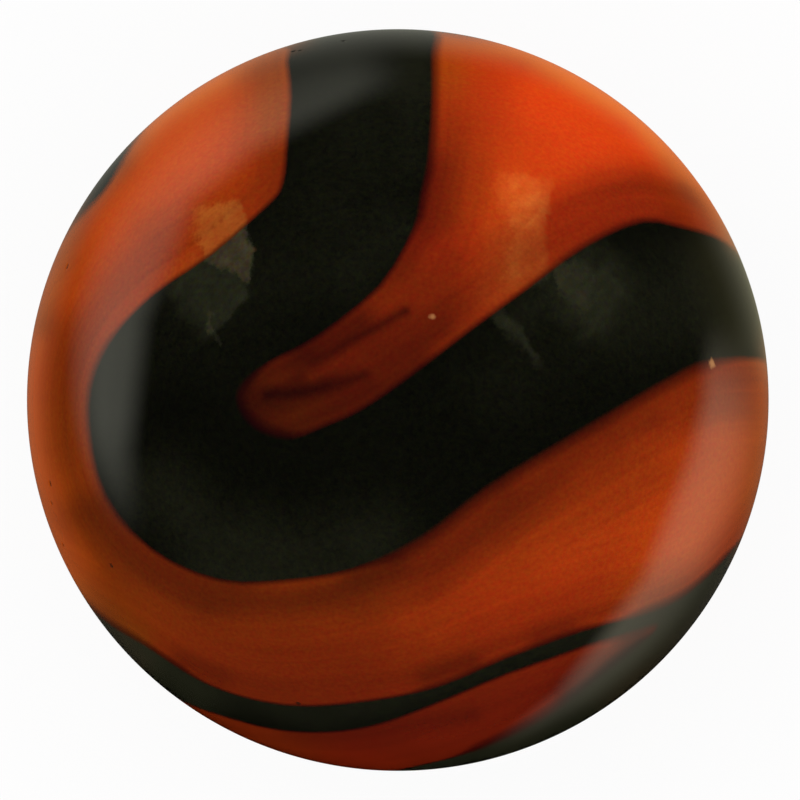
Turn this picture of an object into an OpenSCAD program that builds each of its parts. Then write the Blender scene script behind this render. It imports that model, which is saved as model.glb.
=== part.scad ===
// Glass marble: a ball of translucent orange glass with a ribbon of opaque black glass folded into it.
// The two glasses were rolled together while soft, so they are fused into one true ball.
// The origin is the centre of the ball. The face that shows the whole hook of the swirl looks up, to +Z.

/* [Ball] */
// Diameter of the ball
ball_d = 16; // [10:0.5:50]
/* [Swirl] */
// Depth of the black ribbon under the surface
ribbon_depth = 2.2; // [0.6:0.1:4]
// How wide the ribbon is, in percent of the drawing
ribbon_percent = 100; // [60:5:110]
/* [Hidden] */
$fn = 128;

ball_r = ball_d / 2;
floor_r = ball_r - ribbon_depth;
// The ribbon's wedge starts under its floor and ends clear of the ball, so that no flat of it shows.
wedge_in = 0.8 * floor_r;
wedge_out = 1.25 * ball_r;
// Rings of the wedge from one station to the next
ring_steps = 3;
// Where the pole of the ball's sphere is turned to, so that no edge of the ribbon passes near it
pole_tilt = 80;
pole_turn = 64;

// The ribbon is drawn on the plan of the ball, in percent of its radius, x to the right and y up.
// Each station holds the ribbon's left and right edge, and the mark under puts a point on the underside.
under = -1;
// Down over the top rim, round the orange tongue and off to the right rim
top_hook = [
    [[-30, 95], [9, 99]],
    [[-29, 90], [9, 92]],
    [[-28, 80], [9, 79]],
    [[-29, 66], [8, 64]],
    [[-30, 57], [6, 54]],
    [[-34, 51], [4, 45]],
    [[-49, 38], [-5, 30]],
    [[-65, 27], [-21, 17]],
    [[-76, 15], [-34, 10]],
    [[-81, 3], [-41, 4]],
    [[-81, -10], [-42, -1]],
    [[-77, -25], [-39, -6]],
    [[-65, -39], [-34, -9]],
    [[-47, -47], [-27, -10]],
    [[-29, -47], [-19, -7]],
    [[-12, -44], [-10, -3]],
    [[6, -36], [2, 5]],
    [[23, -23], [19, 18]],
    [[41, -12], [34, 29]],
    [[58, -2], [49, 40]],
    [[72, 6], [65, 47]],
    [[84, 11], [78, 45]],
    [[99, 11], [93, 37]]
];
// The same fold again on the underside, out to the lower right rim
under_hook = [
    [[92, 6, under], [86, 36, under]],
    [[74, 0, under], [68, 32, under]],
    [[52, -8, under], [44, 26, under]],
    [[30, -16, under], [16, 18, under]],
    [[14, -24, under], [-10, 6, under]],
    [[5, -34, under], [-28, -14, under]],
    [[3, -46, under], [-36, -38, under]],
    [[8, -58, under], [-34, -62, under]],
    [[18, -68, under], [-22, -80, under]],
    [[32, -74, under], [-14, -94, under]],
    [[50, -72, under], [2, -99]],
    [[66, -66, under], [20, -94]],
    [[79, -55, under], [37, -86]],
    [[88, -44, under], [52, -75]],
    [[94, -32, under], [62, -67]]
];
// Round the tip of the orange wedge, then drawn out thin along the lower rim
thin_band = [
    [[90, -40], [68, -62]],
    [[83, -47], [69, -60]],
    [[75, -53], [67, -60]],
    [[65, -57], [60, -62]],
    [[49, -61], [49, -65]],
    [[29, -68], [29, -72]],
    [[10, -76], [10, -80]],
    [[-10, -80], [-10, -87]],
    [[-30, -81], [-30, -88]],
    [[-50, -76], [-48, -84]],
    [[-65, -67], [-61, -79]],
    [[-74, -62], [-68, -71, under]]
];
// Back up the left side, where one edge looks over the rim, to the start
left_side = [
    [[-84, -54], [-72, -60, under]],
    [[-92, -36, under], [-76, -38, under]],
    [[-97, -8, under], [-80, -12, under]],
    [[-97, 18, under], [-80, 14, under]],
    [[-89, 45], [-78, 40, under]],
    [[-81, 54], [-74, 50, under]],
    [[-76, 61], [-70, 58, under]],
    [[-66, 76], [-48, 74, under]],
    [[-46, 86, under], [-4, 90, under]]
];
stations = concat(top_hook, under_hook, thin_band, left_side);
station_count = len(stations);
ring_count = station_count * ring_steps;

function unit(v) = v / norm(v);

// Direction from the centre of the ball to a point that is drawn on the plan
function direction(point) =
    let (x = point[0] / 100)
    let (y = point[1] / 100)
    let (side = is_undef(point[2]) ? 1 : point[2])
    unit([x, y, side * sqrt(max(0, 1 - x * x - y * y))]);

// Direction of one edge, 0 for the left and 1 for the right, moved in or out as ribbon_percent says
function edge(station, which) =
    let (here = direction(station[which]))
    let (middle = (here + direction(station[1 - which])) / 2)
    unit(middle + (here - middle) * ribbon_percent / 100);

// Smooth curve through four directions in a row, from the second at t = 0 to the third at t = 1
function smooth(a, b, c, d, t) =
    unit(2 * b + (c - a) * t + (2 * a - 5 * b + 4 * c - d) * t * t + (3 * b - a - 3 * c + d) * t * t * t);

function station_at(i) = stations[i % station_count];

// Direction of one edge at one ring, counted round the closed ribbon
function ring_edge(ring, which) =
    let (i = floor(ring / ring_steps))
    let (t = ring / ring_steps - i)
    smooth(
        edge(station_at(i + station_count - 1), which),
        edge(station_at(i), which),
        edge(station_at(i + 1), which),
        edge(station_at(i + 2), which),
        t
    );

// Corners of one ring, in the order inner left, inner right, outer right, outer left
function ring_corners(ring) =
    let (left = ring_edge(ring, 0))
    let (right = ring_edge(ring, 1))
    [left * wedge_in, right * wedge_in, right * wedge_out, left * wedge_out];

// Closed ring of wedges with walls that point at the centre of the ball
module ribbon_wedge() {
    corner_count = 4;
    rings = [for (ring = [0 : ring_count - 1]) each ring_corners(ring)];
    walls = [
        for (ring = [0 : ring_count - 1])
            for (corner = [0 : corner_count - 1])
                let (next_ring = (ring + 1) % ring_count)
                let (next_corner = (corner + 1) % corner_count)
                [
                    ring * corner_count + corner,
                    next_ring * corner_count + corner,
                    next_ring * corner_count + next_corner,
                    ring * corner_count + next_corner
                ]
    ];
    polyhedron(points = rings, faces = walls);
}

// Ball about the origin, with its poles clear of the ribbon's edges
module clear_ball(radius) {
    rotate([0, pole_tilt, pole_turn])
        sphere(r = radius);
}

// Everything that the ribbon takes up, from its floor to past the surface of the ball
module ribbon_space() {
    difference() {
        ribbon_wedge();
        clear_ball(floor_r);
    }
}

module orange_glass() {
    color([0.8, 0.27, 0.06])
        difference() {
            clear_ball(ball_r);
            ribbon_space();
        }
}

module black_swirl() {
    color([0.05, 0.05, 0.04])
        intersection() {
            clear_ball(ball_r);
            ribbon_space();
        }
}

orange_glass();
black_swirl();
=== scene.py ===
"""A glass marble on a pale floor: translucent orange glass with a ribbon of black folded into it."""
import math

import bmesh
import bpy
import numpy as np
from mathutils import Matrix, Vector
from mathutils.bvhtree import BVHTree


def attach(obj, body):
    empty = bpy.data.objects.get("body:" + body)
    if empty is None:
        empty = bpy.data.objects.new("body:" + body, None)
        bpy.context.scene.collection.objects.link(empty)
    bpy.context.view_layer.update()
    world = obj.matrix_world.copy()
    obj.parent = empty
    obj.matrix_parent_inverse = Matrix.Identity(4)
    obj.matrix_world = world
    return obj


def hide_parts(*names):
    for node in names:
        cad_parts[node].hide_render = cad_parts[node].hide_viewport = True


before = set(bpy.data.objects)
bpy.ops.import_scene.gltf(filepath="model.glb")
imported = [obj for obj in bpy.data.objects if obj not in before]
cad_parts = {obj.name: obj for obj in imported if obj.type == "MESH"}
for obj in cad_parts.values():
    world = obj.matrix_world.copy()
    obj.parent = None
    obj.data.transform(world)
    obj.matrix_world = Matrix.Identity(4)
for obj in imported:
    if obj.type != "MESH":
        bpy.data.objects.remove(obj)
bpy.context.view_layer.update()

MM = 0.001
ORANGE_NODE = "orange_glass"
BLACK_NODE = "black_swirl"

# The photograph, in pixels: its side, the radius of the ball's outline and how far left of the middle it is
PHOTO_SIZE = 800
BALL_OUTLINE_PX = 370.9
BALL_LEFT_PX = 2.2
# The camera stands this many of the ball's radii above its middle and looks straight down
CAMERA_RADII = 30
SENSOR = 36
# What the camera shows starts and ends at these shares of its distance
SHOWN_FROM = 0.05
SHOWN_TO = 40

# The ball is as large as the CAD's, whose corners lie on its surface
BALL_R = max(v.co.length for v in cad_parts[ORANGE_NODE].data.vertices)
FLOOR_Z = -BALL_R
CAMERA_DISTANCE = CAMERA_RADII * BALL_R
OUTLINE_SLOPE = BALL_R / math.sqrt(CAMERA_DISTANCE ** 2 - BALL_R ** 2)


# Shader sheets

class Value:
    """One number in a shader. An expression on values adds its Math nodes."""

    def __init__(self, sheet, socket):
        self.sheet = sheet
        self.socket = socket

    def math(self, operation, *others):
        inputs = {0: self, **dict(enumerate(others, 1))}
        return self.sheet.value("ShaderNodeMath", {"operation": operation}, inputs)

    def swapped(self, operation, other):
        return self.sheet.value("ShaderNodeMath", {"operation": operation}, {0: other, 1: self})

    def __add__(self, other):
        return self.math("ADD", other)

    def __radd__(self, other):
        return self.math("ADD", other)

    def __sub__(self, other):
        return self.math("SUBTRACT", other)

    def __rsub__(self, other):
        return self.swapped("SUBTRACT", other)

    def __mul__(self, other):
        return self.math("MULTIPLY", other)

    def __rmul__(self, other):
        return self.math("MULTIPLY", other)

    def __truediv__(self, other):
        return self.math("DIVIDE", other)

    def __pow__(self, other):
        return self.math("POWER", other)

    def most(self, other):
        return self.math("MAXIMUM", other)

    def step(self, start, end):
        """0 up to start and 1 from end on, with a soft rise between them."""
        settings = {"interpolation_type": "SMOOTHSTEP"}
        inputs = {"Value": self, "From Min": start, "From Max": end}
        return self.sheet.value("ShaderNodeMapRange", settings, inputs)


class Sheet:
    """The node tree of one material or world."""

    def __init__(self, owner):
        owner.use_nodes = True
        self.tree = owner.node_tree
        self.tree.nodes.clear()

    def node(self, kind, settings=None, inputs=None):
        """A node of that kind, with its settings made first and then its sockets' values or links."""
        node = self.tree.nodes.new(kind)
        for name, setting in (settings or {}).items():
            setattr(node, name, setting)
        for name, given in (inputs or {}).items():
            given = given.socket if isinstance(given, Value) else given
            if isinstance(given, bpy.types.NodeSocket):
                self.tree.links.new(given, node.inputs[name])
            else:
                node.inputs[name].default_value = given
        return node

    def value(self, kind, settings=None, inputs=None, output=0):
        return Value(self, self.node(kind, settings, inputs).outputs[output])

    def colour(self, *parts):
        """A colour made of three values."""
        return self.node("ShaderNodeCombineColor", None, dict(enumerate(parts))).outputs[0]

    def mix(self, factor, first, second):
        """From the first colour at 0 to the second at 1."""
        node = self.node("ShaderNodeMix", {"data_type": "RGBA"}, {0: factor, 6: first, 7: second})
        return node.outputs[2]

    def noise(self, vector, scale, detail=2.0, roughness=0.5):
        inputs = {"Vector": vector, "Scale": scale, "Detail": detail, "Roughness": roughness}
        return self.value("ShaderNodeTexNoise", None, inputs)

    def streaks(self, vector, scale, across):
        """Noise that changes slowly over the surface and quickly with the number across."""
        scaled = self.node("ShaderNodeVectorMath", {"operation": "SCALE"}, {0: vector, "Scale": scale})
        inputs = {"Vector": scaled.outputs[0], "W": across, "Scale": 1.0, "Detail": 3.0}
        return self.value("ShaderNodeTexNoise", {"noise_dimensions": "4D"}, inputs)

    def painted(self, name):
        return self.value("ShaderNodeAttribute", {"attribute_name": name}, None, "Fac")

    def place(self):
        """Where on its object this part of the surface is, as one vector and as three values."""
        vector = self.node("ShaderNodeTexCoord").outputs["Object"]
        split = self.node("ShaderNodeSeparateXYZ", None, {0: vector})
        return vector, [Value(self, part) for part in split.outputs]


# Camera and light

def place_camera():
    camera = bpy.data.cameras.new("camera")
    camera.sensor_width = SENSOR
    camera.lens = SENSOR * BALL_OUTLINE_PX / (PHOTO_SIZE * OUTLINE_SLOPE)
    camera.shift_x = BALL_LEFT_PX / PHOTO_SIZE
    camera.clip_start = CAMERA_DISTANCE * SHOWN_FROM
    camera.clip_end = CAMERA_DISTANCE * SHOWN_TO
    holder = bpy.data.objects.new("camera", camera)
    holder.location = (0, 0, CAMERA_DISTANCE)
    bpy.context.collection.objects.link(holder)
    bpy.context.scene.camera = holder


def seen_by_eye_or_glass(sheet):
    """1 where the camera looks, straight, by gloss or through glass, and 0 for what lights the object."""
    path = sheet.node("ShaderNodeLightPath")
    rays = ["Is Camera Ray", "Is Glossy Ray", "Is Transmission Ray"]
    camera, glossy, through = [Value(sheet, path.outputs[ray]) for ray in rays]
    return camera.most(glossy).most(through)


ROOM_LIGHT = 0.95


def light_room():
    world = bpy.data.worlds.new("pale_room")
    sheet = Sheet(world)
    lights = sheet.node("ShaderNodeBackground", None, {"Color": (1, 1, 1, 1), "Strength": ROOM_LIGHT})
    shows = sheet.node("ShaderNodeBackground", None, {"Color": (1, 1, 1, 1), "Strength": 1.0})
    either = sheet.node("ShaderNodeMixShader", None, {0: seen_by_eye_or_glass(sheet)})
    sheet.tree.links.new(lights.outputs[0], either.inputs[1])
    sheet.tree.links.new(shows.outputs[0], either.inputs[2])
    sheet.node("ShaderNodeOutputWorld", None, {"Surface": either.outputs[0]})
    bpy.context.scene.world = world


SOFTBOX_PLACE = (-0.15, 0.15, 0.5)
SOFTBOX_SIZE = 0.5
SOFTBOX_WATTS = 0.3


def hang_softbox():
    lamp = bpy.data.lights.new("softbox", "AREA")
    lamp.shape = "DISK"
    lamp.size = SOFTBOX_SIZE
    lamp.energy = SOFTBOX_WATTS
    holder = bpy.data.objects.new("softbox", lamp)
    holder.location = SOFTBOX_PLACE
    holder.rotation_euler = Vector(SOFTBOX_PLACE).to_track_quat("Z", "Y").to_euler()
    holder.visible_glossy = False
    bpy.context.collection.objects.link(holder)


FLOOR_SIZE = 6.0
FLOOR_COLOUR = (0.96, 0.96, 0.96, 1)
FLOOR_PLAIN_SHARE = 0.9


def new_object(name, bm, material):
    mesh = bpy.data.meshes.new(name)
    bm.to_mesh(mesh)
    bm.free()
    mesh.materials.append(material)
    piece = bpy.data.objects.new(name, mesh)
    bpy.context.collection.objects.link(piece)
    return piece


def lay_floor():
    material = bpy.data.materials.new("pale_floor")
    sheet = Sheet(material)
    lit = sheet.node("ShaderNodeBsdfDiffuse", None, {"Color": FLOOR_COLOUR})
    plain = sheet.node("ShaderNodeEmission", None, {"Color": (1, 1, 1, 1), "Strength": 1.0})
    share = seen_by_eye_or_glass(sheet) * FLOOR_PLAIN_SHARE
    both = sheet.node("ShaderNodeMixShader", None, {0: share})
    sheet.tree.links.new(lit.outputs[0], both.inputs[1])
    sheet.tree.links.new(plain.outputs[0], both.inputs[2])
    sheet.node("ShaderNodeOutputMaterial", None, {"Surface": both.outputs[0]})
    material.cycles.emission_sampling = "NONE"
    bm = bmesh.new()
    bmesh.ops.create_grid(bm, size=FLOOR_SIZE / 2, matrix=Matrix.Translation((0, 0, FLOOR_Z)))
    floor = new_object("floor", bm, material)
    # The glass reflects the tent, which goes on below the floor
    floor.visible_glossy = False


# The dark tent that the glass reflects, with the openings that light it. Only gloss sees it.

TENT_R = 1.5 * BALL_R
TENT_SEGMENTS = 96
# Near edge of the long pale window as the camera sees it in the ball, up the left and over the top
WINDOW_EDGE = [(-69, -35), (-71, -13), (-67, 21), (-54.5, 53), (-39, 66), (-10, 81), (1, 84)]
# Near edge of the warmer wall, down the right
WALL_EDGE = [(83, 30), (81.5, 0), (78, -14), (65, -48), (43, -79), (29, -91)]
# How soft the edges of the window and the wall are, as a share of the ball's radius
WINDOW_SOFT = 0.045
WALL_SOFT = 0.035
# How bright the window is at its top and how much brighter lower down, and the wall and the rest
WINDOW_LIGHT = 0.52
WINDOW_LOW_LIGHT = 0.34
WALL_LIGHT = 0.8
TENT_DARK = 0.012
# Warm light that comes round the clear orange rim: how strong, and from where to where, in degrees
# clockwise from the bottom of the picture and below 0 to the right
WARM_RIMS = [(0.5, -166, -117), (0.3, 136, 163), (0.18, 58, 120), (0.14, -98, -68)]
WARM_SOFT = 6
# How much red, green and blue each light of the tent has
PLAIN_TINT = (1.0, 1.01, 0.84)
WALL_TINT = (1.0, 0.93, 0.7)
SIDE_TINT = (1.0, 0.9, 0.4)
WARM_TINT = (1.0, 0.2, 0.0)


def beyond(u, v, start, end, soft):
    """1 to the left of the line from start to end, 0 to its right, with a soft edge."""
    (ax, ay), (bx, by) = start, end
    length = math.hypot(bx - ax, by - ay)
    return ((v - ay) * ((bx - ax) / length) - (u - ax) * ((by - ay) / length)).step(-soft, soft)


def outside(u, v, edge, soft):
    """1 beyond a bulging edge of straight stretches, which runs clockwise and is in percent."""
    beyonds = [
        beyond(u, v, (ax / 100, ay / 100), (bx / 100, by / 100), soft)
        for (ax, ay), (bx, by) in zip(edge, edge[1:])
    ]
    shape = beyonds[0]
    for other in beyonds[1:]:
        shape = shape.most(other)
    return shape


def warm_light(turn):
    """The strength of the warm light at each turn round the rim."""
    warm = 0.0
    for strength, start, end in WARM_RIMS:
        after_start = turn.step(start - WARM_SOFT, start + WARM_SOFT)
        before_end = turn.step(end + WARM_SOFT, end - WARM_SOFT)
        warm = after_start * before_end * strength + warm
    return warm


def tent_light(sheet):
    """The colour of the tent from inside: dark, but for the window, the wall and the rim's light."""
    x, y, z = [part / TENT_R for part in sheet.place()[1]]
    # Where the camera sees this part of the tent in the ball, as a share of the ball's radius
    seen = (0.797 - z * 0.5 - z * z * 0.3).most(0.0) ** 0.5
    flat = (x * x + y * y).most(0.0001) ** 0.5
    u = x / flat * seen
    v = y / flat * seen

    window_level = v.step(0.55, 0.1) * WINDOW_LOW_LIGHT + WINDOW_LIGHT
    window_ends = v.step(-0.4, -0.02) * u.step(0.05, -0.14)
    window_rim = seen.step(v * 0.11 + 0.89, 0.77)
    window = outside(u, v, WINDOW_EDGE, WINDOW_SOFT) * window_level * window_ends * window_rim
    wall_ends = v.step(0.24, -0.04) * seen.step(0.98, 0.82)
    wall = outside(u, v, WALL_EDGE, WALL_SOFT) * wall_ends * WALL_LIGHT
    # Degrees clockwise from the bottom, and below 0 to the right
    turn = (0.0 - u).math("ARCTAN2", 0.0 - v) * math.degrees(1)
    warm = warm_light(turn)
    # The pale light all round the rim is stronger at the top and weaker where the warm light is
    rim = (v * 0.11 + 0.08).most(0.0) * (1.0 - warm * 0.7) * seen.step(0.9, 0.99)
    warm = warm * seen.step(0.95, 0.995) * z.step(-1.0, -0.7)
    # A weak light on the right, above the end of the wall
    side_level = seen.step(0.78, 0.94) * 0.08 + seen.step(0.94, 0.99) * 0.03
    side = turn.step(-90, -100) * turn.step(-124, -114) * side_level
    plain = window + rim + seen.step(0.98, 0.8) * TENT_DARK
    lights = [(plain, PLAIN_TINT), (wall, WALL_TINT), (side, SIDE_TINT), (warm, WARM_TINT)]
    return sheet.colour(*[sum(level * tint[channel] for level, tint in lights) for channel in range(3)])


def hang_tent():
    material = bpy.data.materials.new("dark_tent")
    sheet = Sheet(material)
    glow = sheet.node("ShaderNodeEmission", None, {"Color": tent_light(sheet), "Strength": 1.0})
    sheet.node("ShaderNodeOutputMaterial", None, {"Surface": glow.outputs[0]})
    material.cycles.emission_sampling = "NONE"
    bm = bmesh.new()
    bmesh.ops.create_uvsphere(bm, u_segments=TENT_SEGMENTS, v_segments=TENT_SEGMENTS // 2, radius=TENT_R)
    tent = new_object("dark_tent", bm, material)
    for face in tent.data.polygons:
        face.use_smooth = True
    tent.visible_camera = False
    tent.visible_diffuse = False
    tent.visible_transmission = False
    tent.visible_volume_scatter = False
    tent.visible_shadow = False


# What is painted on the glass, as the camera sees it, with painted light and shade among it. Each wash is a
# level, a reach, a strength and a line, and pulls the glass towards its level along that line. The reach
# and the line's points are in percent of the ball's outline, x to the right and y up.

UPPER_RIM = [(99, 14), (87, 50), (64, 77), (34, 94), (0, 100), (-34, 94), (-64, 77), (-87, 50), (-99, 14)]

# How bright the orange is, in thousandths: the glass's own depth of colour together with painted light,
# brightest at the upper right and round the rim, and painted shade, darker towards the bottom
TONE_START = 250
TONES = [
    # Upper right, the brightest glass, partly painted light from the upper right
    (640, 30, 1.0, [(35, 90), (62, 66), (40, 58)]),
    (790, 16, 0.9, [(40, 84), (56, 74)]),
    (620, 12, 0.8, [(28, 62), (38, 52)]),
    (380, 4, 0.6, [(23, 63), (23, 55)]),
    (850, 9, 0.8, [(32, 92), (46, 84)]),
    # Painted light along the upper right rim, where light comes through the glass
    (900, 8, 1.0, [(88, 48), (77, 64), (64, 77), (50, 87), (42, 91)]),
    (1000, 5, 0.9, [(88, 48), (77, 64), (64, 77), (50, 87)]),
    # Darker beside the top of the ribbon, and maroon lower down: painted shade where the black runs on
    # under the orange
    (360, 8, 0.9, [(12, 96), (14, 76)]),
    (440, 9, 0.6, [(24, 86), (24, 70)]),
    (270, 7, 0.7, [(14, 72), (14, 60)]),
    (180, 9, 0.95, [(11, 62), (12, 50)]),
    (100, 5, 0.8, [(7, 60), (7, 46), (3, 38)]),
    (660, 7, 0.9, [(34, 95), (16, 99)]),
    # The brown band over the right of the hook, with its darker line
    (230, 11, 1.0, [(92, 44), (78, 50), (62, 50), (46, 44), (38, 38)]),
    (330, 5, 0.8, [(42, 50), (54, 57), (66, 58), (82, 55), (90, 47)]),
    (660, 4.5, 0.6, [(86, 55), (74, 63)]),
    (270, 2.4, 0.7, [(41, 49), (47, 53), (55, 56), (66, 58), (77, 56), (85, 51)]),
    (430, 1.3, 0.6, [(41, 54), (50, 58), (60, 61)]),
    (300, 1.5, 0.6, [(43, 43), (56, 50), (70, 51)]),
    # The tongue, with two dark veins and a paler one between them
    (250, 12, 0.9, [(30, 36), (18, 28)]),
    (115, 11, 0.95, [(10, 24), (-2, 18), (-14, 12)]),
    (36, 11, 0.95, [(-22, 5), (-30, 0), (-40, -2)]),
    (180, 4, 0.7, [(14, 38), (8, 28), (-2, 26)]),
    (58, 5, 0.85, [(-26, 13), (-10, 21)]),
    (30, 1.5, 0.85, [(-23, 10), (-18, 12.5), (-12, 16.5), (-5, 19.5), (2, 24)]),
    (120, 2.2, 0.75, [(-23, 7), (-10, 13), (1, 20.5)]),
    (40, 4, 0.7, [(-34, 8), (-24, 12)]),
    (60, 4, 0.5, [(-8, 30), (0, 34)]),
    (85, 3, 0.7, [(-8, 6), (6, 15), (12, 19)]),
    (28, 5, 0.8, [(-40, 6), (-41, -5), (-33, -10)]),
    (14, 2, 0.85, [(-35, 1.5), (-25, 2), (-16, 4), (-9, 6.5)]),
    (85, 3, 0.7, [(-27, -5), (-18, -1), (-8, 4)]),
    (50, 5, 0.85, [(-30, -9), (-16, -3), (-4, 3), (5, 9)]),
    (90, 5, 0.7, [(-6, 12), (6, 13)]),
    # Upper left
    (590, 22, 1.0, [(-40, 86), (-62, 66), (-80, 44)]),
    (270, 12, 0.9, [(-32, 92), (-31, 70), (-36, 54), (-50, 46)]),
    (300, 7, 0.7, [(-31, 94), (-31, 87)]),
    (170, 6, 0.8, [(-31, 64), (-34, 54)]),
    (200, 4, 0.5, [(-42, 50), (-52, 40)]),
    (250, 12, 0.9, [(-64, 40), (-78, 24), (-84, 14)]),
    (430, 7, 0.9, [(-95, 27), (-90, 31)]),
    (290, 6, 0.6, [(-90, 40), (-88, 44)]),
    (240, 5, 0.8, [(-86, 52), (-76, 64)]),
    # Painted light along the upper left rim
    (780, 5, 0.9, [(-66, 76), (-50, 87)]),
    (175, 12, 1.0, [(-92, 8), (-92, -12), (-90, -22)]),
    # Painted light along the left rim
    (560, 6, 1.0, [(-100, 14), (-101, 0), (-100, -14), (-97, -26)]),
    (410, 8, 0.9, [(-93, -30), (-82, -52)]),
    (480, 5, 0.9, [(-96, -28), (-88, -46)]),
    (145, 8, 0.9, [(-84, -30), (-74, -44), (-60, -54)]),
    (85, 5, 0.6, [(-64, -46), (-56, -50)]),
    # Under the hook, darker lower down, partly painted shade
    (190, 10, 0.9, [(-76, -56), (-58, -64), (-44, -70)]),
    (105, 6, 0.9, [(-80, -30), (-70, -42), (-56, -50), (-44, -52)]),
    (100, 7, 1.0, [(-50, -54), (-30, -55), (-14, -52)]),
    (85, 7, 0.85, [(-8, -50), (6, -45), (18, -38), (30, -28)]),
    (130, 5, 0.7, [(-10, -55), (8, -52)]),
    (150, 5, 0.5, [(-46, -62), (-28, -62)]),
    (175, 10, 1.0, [(-34, -68), (-12, -70), (2, -66)]),
    (250, 12, 0.9, [(7, -65), (20, -62)]),
    (340, 14, 1.0, [(28, -50), (46, -44), (60, -40)]),
    (450, 13, 1.0, [(70, -36), (84, -28), (90, -16)]),
    (480, 8, 0.8, [(78, -38), (84, -26)]),
    (215, 8, 0.85, [(98, 5), (84, 2), (72, -2)]),
    (300, 7, 0.7, [(64, -16), (76, -14)]),
    (440, 7, 0.6, [(78, -16), (88, -14)]),
    (150, 4, 0.6, [(58, -8), (68, -5)]),
    (130, 7, 0.8, [(54, -12), (44, -19), (26, -34), (10, -44)]),
    (240, 4, 0.5, [(50, -20), (56, -14)]),
    (70, 5, 0.7, [(-10, -47), (-2, -44)]),
    (300, 3, 0.5, [(2, -60), (22, -52), (44, -38), (62, -28)]),
    (330, 2.5, 0.5, [(10, -64), (34, -55), (56, -44)]),
    (420, 6, 0.6, [(42, -44), (54, -38)]),
    # Painted light along the right rim
    (480, 5, 0.9, [(101, 10), (101, -10)]),
    (400, 5, 0.8, [(83, 51), (91, 39)]),
    (300, 6, 0.7, [(97, -30), (86, -46), (72, -54)]),
    (150, 6, 0.8, [(88, -51), (70, -57)]),
    # A dark line along the thin band
    (175, 2.2, 0.6, [(-60, -69), (-46, -75), (-30, -77), (0, -75), (20, -69), (45, -60), (60, -56)]),
    (85, 4, 0.6, [(-58, -71), (-48, -75)]),
    (60, 3, 0.8, [(8, -75), (20, -71)]),
    (70, 3, 0.6, [(38, -65), (46, -62.5)]),
    # Under the thin band, darkest towards the bottom of the ball, partly painted shade
    (122, 20, 1.0, [(-40, -92), (0, -92), (30, -86)]),
    (150, 8, 0.8, [(10, -92), (22, -88), (34, -82), (46, -70)]),
    (40, 6, 0.95, [(66, -67), (57, -72), (48, -80)]),
    (80, 3, 0.6, [(-30, -91), (0, -88), (20, -85)]),
    (190, 4, 0.9, [(-64, -79), (-46, -89), (-24, -97), (0, -100)]),
    (60, 3, 1.0, [(16, -100), (26, -98)]),
]

# How green the orange is, in thousandths of its red; yellower round the rim with painted light that comes
# through the glass's edge
GREEN_START = 100
GREENS = [
    (75, 22, 1.0, [(30, 84), (64, 62), (50, 50)]),
    (65, 9, 0.9, [(6, 60), (4, 44), (14, 40)]),
    (70, 10, 0.9, [(44, 48), (66, 50), (88, 46)]),
    (84, 12, 0.9, [(20, 30), (0, 18), (-14, 12)]),
    (130, 9, 0.9, [(-44, 2), (-28, -4)]),
    (120, 18, 1.0, [(-46, 86), (-62, 66), (-84, 34)]),
    (185, 7, 0.8, [(-32, 92), (-34, 76)]),
    (130, 14, 0.9, [(-94, 12), (-94, -20), (-86, -44)]),
    (132, 11, 0.9, [(-74, -54), (-44, -55), (-10, -50)]),
    (84, 9, 0.9, [(24, -60), (44, -54), (62, -48)]),
    (108, 8, 0.8, [(30, -36), (48, -28), (64, -18)]),
    (130, 8, 0.9, [(90, 0), (92, -30)]),
    (150, 12, 0.9, [(-93, -8), (-86, -38), (-78, -52)]),
    (185, 4, 0.9, [(-86, -52), (-70, -64)]),
    (140, 8, 0.9, [(94, -4), (84, -26), (78, -42), (66, -54)]),
    (120, 8, 0.8, [(80, 58), (90, 44)]),
    (68, 14, 1.0, [(-10, -94), (20, -90), (44, -78)]),
    (135, 6, 0.9, [(12, 99), (13, 88)]),
    # Painted light round the rim, yellower where light comes through the edge of the glass
    (190, 3.5, 0.9, UPPER_RIM),
    (150, 5, 0.9, [(-99, 14), (-101, 0), (-97, -26)]),
    (180, 5, 0.9, [(99, 14), (101, 0), (97, -26)]),
]

# How light the black is, in ten-thousandths
BLACK_START = 28
BLACKS = [
    (52, 16, 1.0, [(-12, 98), (-10, 70), (-14, 54)]),
    (50, 14, 0.9, [(-20, 44), (-40, 30), (-60, 20)]),
    (75, 14, 1.0, [(60, 24), (80, 28), (94, 22)]),
    (55, 12, 0.7, [(28, 6), (46, 18)]),
    (90, 5, 0.7, [(33, 22), (43, 32)]),
    (120, 6, 0.8, [(5, 98), (5, 84)]),
    (75, 6, 0.7, [(5, 80), (4, 66)]),
    (70, 7, 0.7, [(0, 46), (-12, 34)]),
    (22, 14, 0.9, [(-60, -8), (-34, -24)]),
    # The lighter lower part of the hook, below a soft level line
    (75, 10, 1.0, [(-64, -25), (-50, -37), (-30, -42), (-6, -38)]),
    (85, 7, 0.8, [(-52, -46), (-30, -49), (-12, -46)]),
    (90, 6, 0.8, [(-60, -76), (-20, -84), (20, -72), (60, -58)]),
    (150, 8, 0.9, [(-90, -52), (-72, -70), (-56, -80)]),
    (350, 9, 0.9, [(94, -46), (80, -64), (58, -84)]),
    (230, 8, 0.8, [(48, -90), (30, -97)]),
    (340, 6, 0.7, [(-84, -54), (-70, -71)]),
    (180, 5, 0.9, [(4, -101), (26, -98), (40, -92)]),
]

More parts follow.
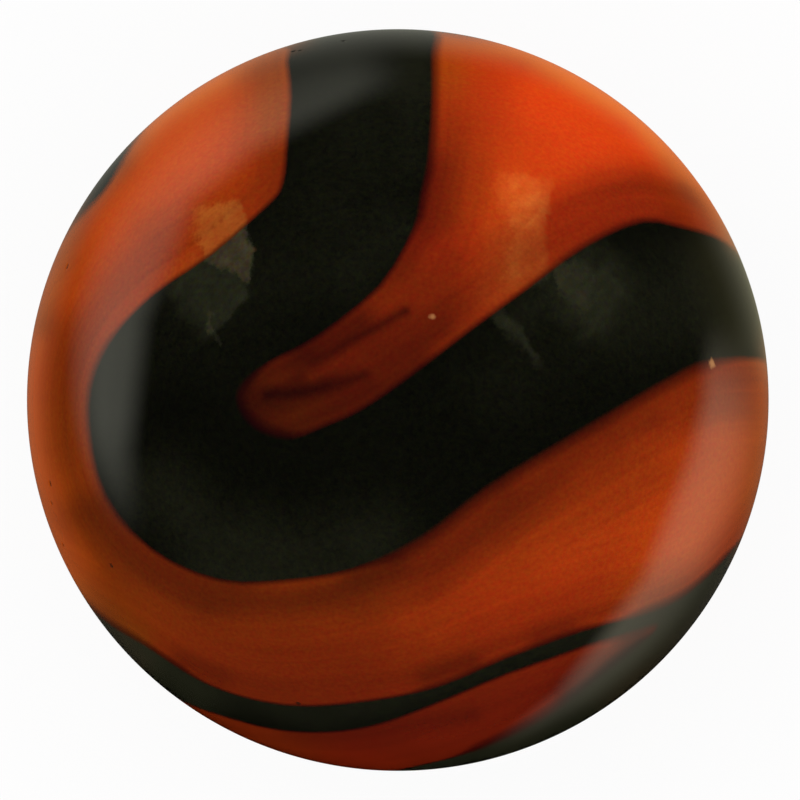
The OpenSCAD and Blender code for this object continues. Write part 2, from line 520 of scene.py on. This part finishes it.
# How far the two glasses run into each other, in thousandths of a millimetre; five times this is also how
# wide the painted shade beside the ribbon's edge is
MELT_START = 30
MELTS = [
    (60, 8, 0.9, [(-82, 14), (-84, -6), (-74, -30)]),
    (90, 9, 1.0, [(4, -42), (30, -22), (58, -6), (80, 5)]),
    (280, 5.5, 1.0, [(66, -68), (55, -79), (40, -88), (24, -96)]),
    (80, 5, 0.9, [(-43, 6), (-42, -4), (-32, -10)]),
    (110, 6, 0.9, [(-84, -54), (-72, -64), (-62, -74)]),
    (110, 8, 0.9, [(-92, 42), (-80, 60), (-70, 70)]),
    (60, 6, 0.9, [(10, 96), (10, 66), (6, 52)]),
    (45, 6, 0.8, [(46, 40), (66, 47), (84, 44), (94, 38)]),
    (110, 5, 0.9, [(90, -44), (80, -52), (68, -59)]),
    (60, 5, 0.8, [(8, -74), (30, -66), (50, -60)]),
]

# On the underside, where the photograph doesn't look, the paint runs out into plain streaked glass,
# between these two heights, in shares of the radius. Its tone rises with the way from the ribbon, in mm.
UNDER_FADE = [-0.35, 0.0]
UNDER_TONE = [(150, 0.0), (420, 1.8)]
UNDER_GREEN = 95
UNDER_BLACK = 20
UNDER_MELT = 50


def line_distance(spots, line):
    """How far each spot is from a line of straight stretches."""
    nearest = np.full(len(spots), np.inf)
    for start, end in zip(line, line[1:]):
        start = np.array(start, float)
        run = np.array(end, float) - start
        share = np.clip((spots - start) @ run / (run @ run), 0, 1)
        nearest = np.minimum(nearest, np.linalg.norm(spots - start - share[:, None] * run, axis=1))
    return nearest


def wash(spots, washes, start):
    """The level at each spot, with each wash laid over those before it."""
    level = np.full(len(spots), float(start))
    for target, reach, strength, line in washes:
        level += (target - level) * strength * np.exp(-(line_distance(spots, line) / reach) ** 2)
    return level


# The marble

BALL_SUBDIVISIONS = 7
# Above this height the faces are twice as fine, for the painted streaks
FINE_FROM = 0.34 * BALL_R
EDGE_ZONE = 0.25 * MM
WALL_DEPTH = 0.1 * MM
# The faces are halved once more in each of these zones round a chip, in radii of the chip
CHIP_ZONES = [1.6, 1.3]

# Small chips in the surface, painted dark in their middles: where the camera sees each, in percent, its
# radius and depth
CHIPS = [
    ((-89.2, 36), 0.09 * MM, 0.03 * MM),
    ((-93.8, -22.5), 0.1 * MM, 0.03 * MM),
    ((-93.4, -27.8), 0.07 * MM, 0.02 * MM),
    ((-90.3, -39), 0.08 * MM, 0.03 * MM),
    ((-88.9, -44.7), 0.08 * MM, 0.02 * MM),
    ((-77.3, -44.7), 0.08 * MM, 0.02 * MM),
    ((-26.9, -81.9), 0.08 * MM, 0.03 * MM),
    ((-28.2, 94), 0.07 * MM, 0.03 * MM),
    ((-26.4, 94.2), 0.06 * MM, 0.02 * MM),
    ((-14.7, 96.8), 0.08 * MM, 0.02 * MM),
]


class Ribbon:
    """Tells how far a place on the ball is from the black ribbon's edge, by the CAD's own solids."""

    def __init__(self):
        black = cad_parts[BLACK_NODE].data
        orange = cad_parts[ORANGE_NODE].data
        self.black = self.tree_of(black, black.polygons)
        self.orange = self.tree_of(orange, orange.polygons)
        self.walls = self.tree_of(black, [face for face in black.polygons if self.is_wall(black, face)])

    @staticmethod
    def tree_of(mesh, faces):
        corners = [v.co for v in mesh.vertices]
        return BVHTree.FromPolygons(corners, [list(face.vertices) for face in faces])

    @staticmethod
    def is_wall(mesh, face):
        depths = [BALL_R - mesh.vertices[i].co.length for i in face.vertices]
        return min(depths) < WALL_DEPTH < max(depths)

    def reach(self, place):
        """The way along the ball to the ribbon's edge, above 0 in the black and below it in the orange."""
        straight = self.walls.find_nearest(place)[3]
        along = BALL_R * math.asin(min(1.0, straight / BALL_R))
        in_black = self.orange.find_nearest(place)[3] > self.black.find_nearest(place)[3]
        return along if in_black else -along


def finer(bm, is_near):
    """Halves the faces that have a corner near, and keeps every corner on the ball."""
    near = {v: is_near(v.co) for v in bm.verts}
    edges = [edge for edge in bm.edges if near[edge.verts[0]] or near[edge.verts[1]]]
    bmesh.ops.subdivide_edges(bm, edges=edges, cuts=1, use_grid_fill=True)
    bmesh.ops.triangulate(bm, faces=bm.faces[:])
    for v in bm.verts:
        v.co = v.co.normalized() * BALL_R


def place_seen_at(spot):
    """The point of the ball that the camera sees at a spot of the picture."""
    slope = Vector(spot) / 100 * OUTLINE_SLOPE
    look = Vector((slope.x, slope.y, -1)).normalized()
    nearest = CAMERA_DISTANCE * -look.z
    way = nearest - math.sqrt(nearest ** 2 - CAMERA_DISTANCE ** 2 + BALL_R ** 2)
    return Vector((0, 0, CAMERA_DISTANCE)) + look * way


def chip_share(place, centre, radius):
    """1 in the middle of a chip and 0 from its edge on."""
    return max(0, 1 - ((place - centre).length / radius) ** 2) ** 2


def marble_mesh(ribbon, chips):
    """The ball, with finer faces where it is painted, along the ribbon's edges and round the chips."""
    bm = bmesh.new()
    bmesh.ops.create_icosphere(bm, subdivisions=BALL_SUBDIVISIONS, radius=BALL_R)
    finer(bm, lambda place: place.z > FINE_FROM or abs(ribbon.reach(place)) < EDGE_ZONE)
    for zone in CHIP_ZONES:
        finer(bm, lambda place: any((place - centre).length < zone * radius for centre, radius, _ in chips))
    for v in bm.verts:
        for centre, radius, depth in chips:
            v.co -= v.co.normalized() * depth * chip_share(v.co, centre, radius)
    for face in bm.faces:
        face.smooth = True
    return bm


def paint_on(piece, name, levels):
    attribute = piece.data.attributes.new(name, "FLOAT", "POINT")
    attribute.data.foreach_set("value", np.asarray(levels, np.float32))


def camera_spots(points):
    """Where the camera sees each point, in percent of the ball's outline."""
    depth = CAMERA_DISTANCE - points[:, 2]
    return points[:, :2] / depth[:, None] / OUTLINE_SLOPE * 100


# Ragged pale patches of painted light and painted reflection on the glass: how strong each is, and its
# corners, anticlockwise, in percent.
# The third number of a corner is how soft the side is that starts there.
PAINTED_LIGHT_PATCHES = [
    # Left, across the edge of the hook
    (1.15, [(-55, 52, 2), (-54, 43, 1), (-51.5, 38, 1.2),
            (-39.6, 32, 0.8), (-39, 35, 0.8), (-42, 54, 1.5)]),
    (0.3, [(-49, 52, 1.5), (-45, 42, 1.5), (-41, 40, 1), (-42, 54, 1.5)]),
    (0.36, [(-64, 32, 4), (-50, 16, 1.5), (-45, 22, 1), (-39, 28, 1.5), (-44, 37, 3), (-56, 41, 3)]),
    (0.4, [(-51, 24, 0.5), (-51, 18, 0.5), (-50, 17.5, 0.5), (-50.2, 24, 0.5)]),
    (0.3, [(-50.8, 18.5, 0.4), (-47.5, 15, 0.4), (-47, 15.6, 0.4), (-50.2, 19, 0.4)]),
    # Right, and on down the tongue
    (0.8, [(27, 60, 4), (30, 46, 2.5), (40.5, 47, 0.8), (41.3, 58, 2.5), (34, 62, 3)]),
    (0.4, [(31, 56, 1.5), (36, 47, 1.5), (41, 49, 1), (40, 56, 1.5)]),
    (0.8, [(30, 50, 3), (29, 30, 3), (40.5, 33, 1), (40, 46, 3)]),
    (0.32, [(25, 50, 4), (20.5, 24, 2.5), (28, 25, 1.5), (36, 34, 3)]),
    (0.38, [(42, 35.5, 1), (44.5, 26, 2), (50.5, 24, 2), (52, 37, 3), (48, 38.5, 2)]),
    (0.16, [(49.5, 27, 2), (48.5, 14.5, 2), (54.5, 17.5, 2), (60.5, 31, 1), (57.5, 37, 3), (52, 36.5, 2)]),
    (0.2, [(41, 38, 4), (42, 22, 4), (56, 16, 4), (64, 34, 4), (54, 44, 4)]),
    (0.34, [(25.5, 24, 1), (27.5, 19, 1.5), (38.5, 9, 1), (34.5, 17.5, 1), (29, 23.5, 1)]),
]
# How far noise moves the edges of the painted light patches and of the specks, as a share of the ball's
# radius
PAINTED_LIGHT_RAG = 0.08
SPECK_WEAR = 0.02
# The feathers in the painted light patches lean right by this share of the way up, and are this many to the
# ball's radius
FEATHER_LEAN = 0.8
FEATHERS = 30
# Bright specks: how strong each is, how wide and high, and where, in percent
SPECKS = [
    (0.8, (1.0, 2.0), (84.6, 9.9)),
    (0.6, (1.2, 1.0), (9.3, 22.5)),
    (0.05, (1.0, 1.0), (-38.7, 40.6)),
]
SPECK_COLOUR = (0.62, 0.28, 0.1, 1)
# The colour painted into the middle of each chip, and how much of it
CHIP_DARK_COLOUR = (0.01, 0.007, 0.004, 1)
CHIP_DARK_SHARE = 0.7
GLASS_IOR = 1.5
# How rough the polished glass is, and how much rougher where it is smeared
POLISH = 0.03
SMEAR = 0.03
# How fine the noises in the glass are, as the number of their waves in a metre
GRAIN_SCALE = 12000
GREEN_GRAIN_SCALE = 9000
MOTTLE_SCALE = 5500
CLOUD_SCALE = 500
STREAK_SCALE = 150
HAIR_SCALE = 120
SMEAR_SCALE = 900
SPECK_WEAR_SCALE = 6000
PAINTED_LIGHT_RAG_SCALES = (1500, 1900)
PAINTED_LIGHT_CLOUD_SCALE = 2600
FEATHER_SCALE = 300
# How fast streaks and the finer hairs change across the ribbon's edge, in waves in a millimetre
STREAKS_ACROSS = 1.5
HAIRS_ACROSS = 7.0


def pane(u, v, corners):
    """1 inside a flat-sided figure that bulges everywhere."""
    shape = 1.0
    for (ax, ay, soft), (bx, by, _) in zip(corners, corners[1:] + corners[:1]):
        shape = beyond(u, v, (ax / 100, ay / 100), (bx / 100, by / 100), soft / 100) * shape
    return shape


def painted_light_patches(sheet, place, u, v):
    """The patches of painted light and painted reflection together, broken up by noise and by feathers that
    lean right.
    """
    across, up = [(sheet.noise(place, scale, 5, 0.7) - 0.5) * PAINTED_LIGHT_RAG for scale in PAINTED_LIGHT_RAG_SCALES]
    ragged_u, ragged_v = u + across, v + up
    light = 0.0
    for strength, corners in PAINTED_LIGHT_PATCHES:
        light = pane(ragged_u, ragged_v, corners) * strength + light
    clouds = sheet.noise(place, PAINTED_LIGHT_CLOUD_SCALE, 5, 0.75).step(0.3, 0.7)
    feathers = sheet.streaks(place, FEATHER_SCALE, (u - v * FEATHER_LEAN) * FEATHERS).step(0.3, 0.7)
    return light * (clouds * 0.5 + feathers * 0.3 + 0.6)


def specks(u, v):
    light = 0.0
    for strength, (width, height), (x, y) in SPECKS:
        away = ((u * 100 - x) / width) ** 2 + ((v * 100 - y) / height) ** 2
        light = away.step(1.0, -0.4) * strength + light
    return light


def orange_colour(sheet, place, reach, melt, painted_light, grain, green_grain):
    """The orange glass: streaked, with painted shade beside the ribbon's edge and painted light in the
    patches.
    """
    painted = sheet.painted("tone")
    # Streaks run along the ribbon's edges, as the glass was drawn out, and show most where it is dark
    streaky = painted.step(0.6, 0.25)
    streaks = sheet.streaks(place, STREAK_SCALE, reach * STREAKS_ACROSS) - 0.5
    hairs = sheet.streaks(place, HAIR_SCALE, reach * HAIRS_ACROSS) - 0.5
    drawn = streaks * (streaky * 0.34 + 0.08) + hairs * (streaky * 0.36 + 0.06)
    drawn = drawn + grain * (streaky * 0.15 + 0.3) + 1.0
    # Painted shade: the orange darkens within five melts of the ribbon's edge, where the black shades it
    # from inside
    ribbon_edge_shade = (0.0 - reach).step(0.0, melt * 5.0)
    tone = painted * drawn * (ribbon_edge_shade * 0.75 + 0.25) * (painted_light * 0.18 + 1.0)
    green = sheet.painted("green") * (green_grain * 0.9 + 1.0) + painted_light * 0.075
    return sheet.colour(tone, tone * green, tone * (painted_light * 0.014 + 0.006) + 0.0015)


def black_colour(sheet, place, facing, painted_light, grain, green_grain):
    """The black glass: mottled where it is darkest, browner where it is lighter, and lighter with painted
    reflection in the patches.
    """
    mottle = (sheet.noise(place, MOTTLE_SCALE, 3, 0.6) - 0.5) * facing
    cloud = sheet.noise(place, CLOUD_SCALE, 4, 0.6) * 0.8 + mottle + 0.6
    level = sheet.painted("black")
    light = level.step(0.004, 0.014)
    clouded = cloud * (1.0 - light * 0.5) + light * 0.5 + grain * (1.2 - light * 1.1)
    # The patches add painted reflection to the black
    dark = level * clouded + painted_light * 0.027
    brown = dark.step(0.014, 0.034)
    green = dark * (green_grain * (0.8 - light * 0.6) + 1.04 - brown * 0.26)
    blue = dark * (grain * (light * 0.7 - 0.8) + 0.54 - brown * 0.12)
    return sheet.colour(dark, green, blue)


def marble_glass():
    material = bpy.data.materials.new("marble_glass")
    sheet = Sheet(material)
    place, (x, y, z) = sheet.place()
    # Where the camera sees this place, as a share of the ball's outline
    spread = (CAMERA_DISTANCE - z) * OUTLINE_SLOPE
    u, v = x / spread, y / spread
    # The patches of painted light and the specks keep to the upper half of the ball
    above = z.step(-0.1 * BALL_R, 0.1 * BALL_R)
    # Painted light and painted reflection in the pale patches
    painted_light = painted_light_patches(sheet, place, u, v) * above
    # The fine noise fades where the camera sees the glass at a slant
    facing = (z / BALL_R).step(0.1, 0.6)
    grain, green_grain = [
        (sheet.noise(place, scale) - 0.5) * facing for scale in (GRAIN_SCALE, GREEN_GRAIN_SCALE)
    ]

    reach = sheet.painted("ribbon_reach")
    melt = sheet.painted("melt")
    orange = orange_colour(sheet, place, reach, melt, painted_light, grain, green_grain)
    black = black_colour(sheet, place, facing, painted_light, grain, green_grain)
    colour = sheet.mix(reach.step(0.0 - melt, melt), orange, black)
    ragged_u = u + (sheet.noise(place, SPECK_WEAR_SCALE) - 0.5) * SPECK_WEAR
    colour = sheet.mix(specks(ragged_u, v) * above, colour, SPECK_COLOUR)
    # The chips are painted dark in their middles
    colour = sheet.mix(sheet.painted("chip_dark").step(0.0, 0.7) * CHIP_DARK_SHARE, colour, CHIP_DARK_COLOUR)
    rough = sheet.noise(place, SMEAR_SCALE, 4, 0.6).step(0.45, 0.8) * SMEAR + POLISH
    inputs = {"Base Color": colour, "Roughness": rough, "IOR": GLASS_IOR}
    glass = sheet.node("ShaderNodeBsdfPrincipled", None, inputs)
    sheet.node("ShaderNodeOutputMaterial", None, {"Surface": glass.outputs[0]})
    return material


def run_out(level, plain, under):
    """The level above, and the plain one where under is 1."""
    return level + (plain - level) * under


def make_marble():
    ribbon = Ribbon()
    chips = [(place_seen_at(spot), radius, depth) for spot, radius, depth in CHIPS]
    marble = new_object("marble", marble_mesh(ribbon, chips), marble_glass())
    places = [v.co.copy() for v in marble.data.vertices]
    points = np.array([tuple(place) for place in places])
    spots = camera_spots(points)
    reach = np.array([ribbon.reach(place) / MM for place in places])
    under = np.interp(points[:, 2] / BALL_R, UNDER_FADE, [1, 0])
    levels, ways = zip(*UNDER_TONE)
    under_tone = np.interp(-reach, ways, levels)
    paint_on(marble, "ribbon_reach", reach)
    paint_on(marble, "tone", run_out(wash(spots, TONES, TONE_START), under_tone, under) / 1000)
    paint_on(marble, "green", run_out(wash(spots, GREENS, GREEN_START), UNDER_GREEN, under) / 1000)
    paint_on(marble, "black", run_out(wash(spots, BLACKS, BLACK_START), UNDER_BLACK, under) / 10000)
    paint_on(marble, "melt", run_out(wash(spots, MELTS, MELT_START), UNDER_MELT, under) / 1000)
    chip_dark = [sum(chip_share(place, centre, radius) for centre, radius, _ in chips) for place in places]
    paint_on(marble, "chip_dark", chip_dark)
    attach(marble, "root")
    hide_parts(ORANGE_NODE, BLACK_NODE)


bpy.context.scene.view_settings.view_transform = "Standard"
place_camera()
light_room()
hang_softbox()
lay_floor()
hang_tent()
make_marble()
